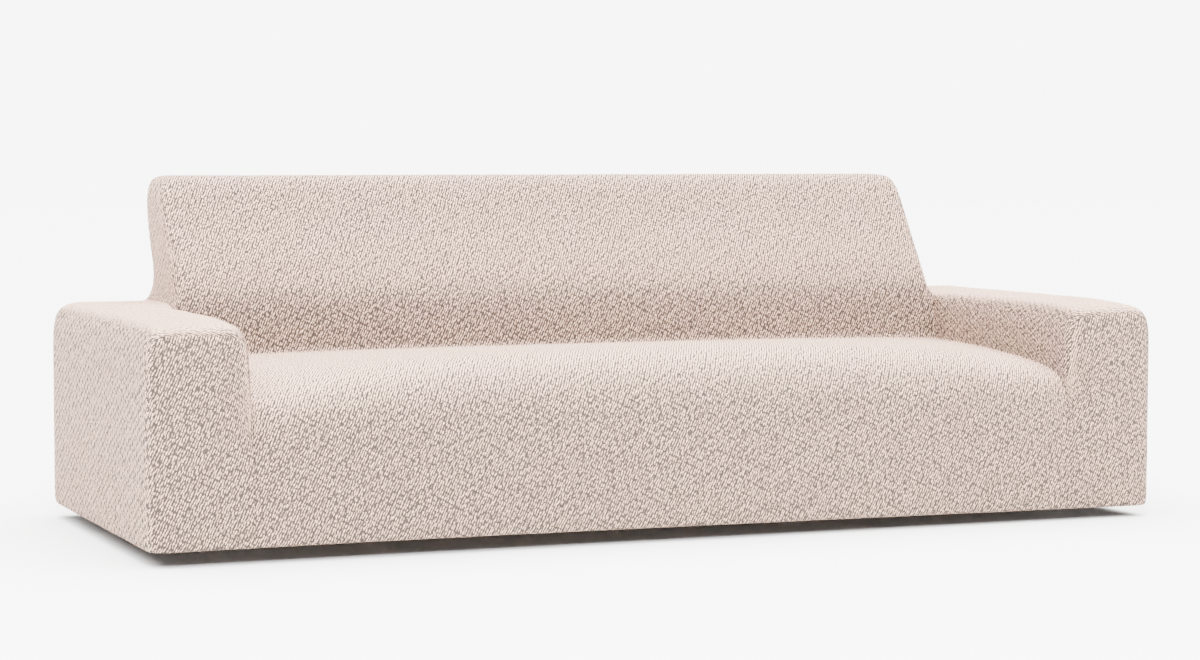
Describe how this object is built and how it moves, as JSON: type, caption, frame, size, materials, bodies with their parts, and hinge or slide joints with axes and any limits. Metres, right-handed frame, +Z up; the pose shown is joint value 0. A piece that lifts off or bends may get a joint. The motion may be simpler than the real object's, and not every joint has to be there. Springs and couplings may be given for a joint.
{
  "type": "sofa slipcover",
  "caption": "Fitted stretch slipcover for a long low sofa, in puckered cream knit with a turned-in hem; hollow, open underneath.",
  "frame": {"origin": "middle of the cover's footprint, at the height of the hem's lowest point", "axes": "+X along the sofa to the viewer's right, +Y from the front to the rear, +Z up"},
  "size_m": [2.5, 1.0318, 0.7987],
  "materials": {
    "cream_knit": "matte cream bi-stretch knit with raised slanted puckers and taupe grooves"
  },
  "bodies": {
    "root": {"seat_apron": "cream_knit", "inside_back": "cream_knit", "outside_back": "cream_knit", "arm_left": "cream_knit", "arm_right": "cream_knit", "arm_front_left": "cream_knit", "arm_front_right": "cream_knit"}
  },
  "joints": []
}
